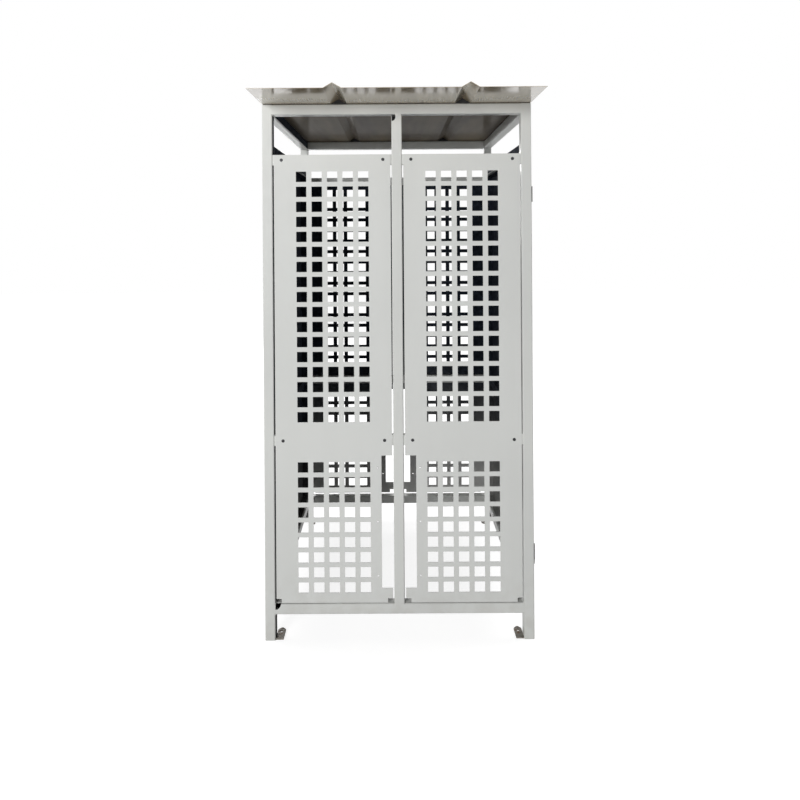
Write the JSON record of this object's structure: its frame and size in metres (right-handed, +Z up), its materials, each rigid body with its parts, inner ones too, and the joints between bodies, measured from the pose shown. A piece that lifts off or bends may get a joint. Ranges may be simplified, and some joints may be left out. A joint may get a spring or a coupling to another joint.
{
  "type": "solar shelter",
  "caption": "Square-tube outdoor equipment shelter with perforated end walls, a hinged side door with a sliding bolt, and a flat solar module on a ribbed sheet roof.",
  "frame": {"origin": "on the floor, at the centre of the four anchor holes, which is the plan centre of the cage", "axes": "+Z up, -Y out of the front shown in the picture, +X to the right as seen from the front, where the door is"},
  "size_m": [1.082, 1.57, 2.1275],
  "materials": {
    "frame_paint": "satin light grey",
    "panel_paint": "satin light grey",
    "roof_coating": "glossy warm grey",
    "foot_steel": "bare, weathered",
    "hinge_steel": "bare, dark",
    "seal_rubber": "matt black",
    "bolt_steel": "zinc plated",
    "module_aluminium": "anodised",
    "module_glass": "dark cells under glass",
    "junction_plastic": "matt black"
  },
  "bodies": {
    "frame": {"bolt_keeper": "bolt_steel", "front_bottom_beam": "frame_paint", "front_centre_post": "frame_paint", "front_left_base_plate": "foot_steel", "front_left_middle_rail": "frame_paint", "front_left_module_bracket": "module_aluminium", "front_left_panel": "panel_paint", "front_left_post": "frame_paint", "front_left_upper_rail": "frame_paint", "front_right_base_plate": "foot_steel", "front_right_middle_rail": "frame_paint", "front_right_module_bracket": "module_aluminium", "front_right_panel": "panel_paint", "front_right_post": "frame_paint", "front_right_upper_rail": "frame_paint", "front_roof_seal": "seal_rubber", "front_top_beam": "frame_paint", "hinge_post_halves": "hinge_steel", "left_bottom_beam": "frame_paint", "left_panel_stiffener": "frame_paint", "left_roof_seal": "seal_rubber", "left_side_panel": "panel_paint", "left_side_rail": "frame_paint", "left_top_beam": "frame_paint", "module_frame_front": "module_aluminium", "module_frame_left": "module_aluminium", "module_frame_rear": "module_aluminium", "module_frame_right": "module_aluminium", "module_glass": "module_glass", "module_junction_box": "junction_plastic", "rear_bottom_beam": "frame_paint", "rear_centre_post": "frame_paint", "rear_left_base_plate": "foot_steel", "rear_left_middle_rail": "frame_paint", "rear_left_module_bracket": "module_aluminium", "rear_left_panel": "panel_paint", "rear_left_post": "frame_paint", "rear_left_upper_rail": "frame_paint", "rear_right_base_plate": "foot_steel", "rear_right_middle_rail": "frame_paint", "rear_right_module_bracket": "module_aluminium", "rear_right_panel": "panel_paint", "rear_right_post": "frame_paint", "rear_right_upper_rail": "frame_paint", "rear_roof_seal": "seal_rubber", "rear_top_beam": "frame_paint", "right_bottom_beam": "frame_paint", "right_roof_seal": "seal_rubber", "right_side_rail": "frame_paint", "right_top_beam": "frame_paint", "roof_sheet": "roof_coating"},
    "door": {"door_skin": "panel_paint", "door_stiffener": "frame_paint", "hinge_door_halves": "hinge_steel", "bolt_bracket": "bolt_steel"},
    "bolt": {"slide_bolt": "bolt_steel"}
  },
  "joints": [
    {"name": "door_swing", "type": "hinge", "parent": "frame", "child": "door", "pos_m": [0.526, -0.4775, 0.318], "axis": [0, 0, -1], "range_deg": [0, 115]},
    {"name": "bolt_slide", "type": "slide", "parent": "door", "child": "bolt", "axis": [0, 1, 0], "range_m": [0, 0.03]}
  ]
}
